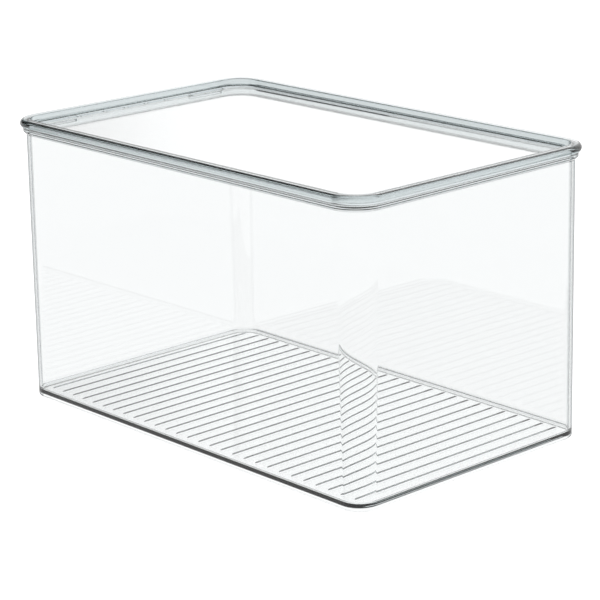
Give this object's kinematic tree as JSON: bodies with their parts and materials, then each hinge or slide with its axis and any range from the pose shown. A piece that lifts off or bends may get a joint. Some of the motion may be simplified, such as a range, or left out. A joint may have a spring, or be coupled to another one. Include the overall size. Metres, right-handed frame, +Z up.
{
  "type": "shoe storage box",
  "caption": "Clear rigid plastic box with drafted walls, rounded corners, a ribbed floor raised on a foot, and a hinged lid with a recessed panel inside a rounded bead.",
  "frame": {"origin": "middle of the underside, on the surface that the box stands on", "axes": "+X across the width, +Y along the length towards the hinge, +Z up"},
  "size_m": [0.2104, 0.338, 0.1952],
  "materials": {
    "clear_plastic": "colourless clear moulded plastic, polished and glossy inside and out"
  },
  "bodies": {
    "bin": {"bin": "clear_plastic"},
    "lid": {"lid": "clear_plastic"}
  },
  "joints": [
    {"name": "lid_hinge", "type": "hinge", "parent": "bin", "child": "lid", "pos_m": [0, 0.1657, 0.1876], "axis": [-1, 0, 0], "range_deg": [0, 140]}
  ]
}
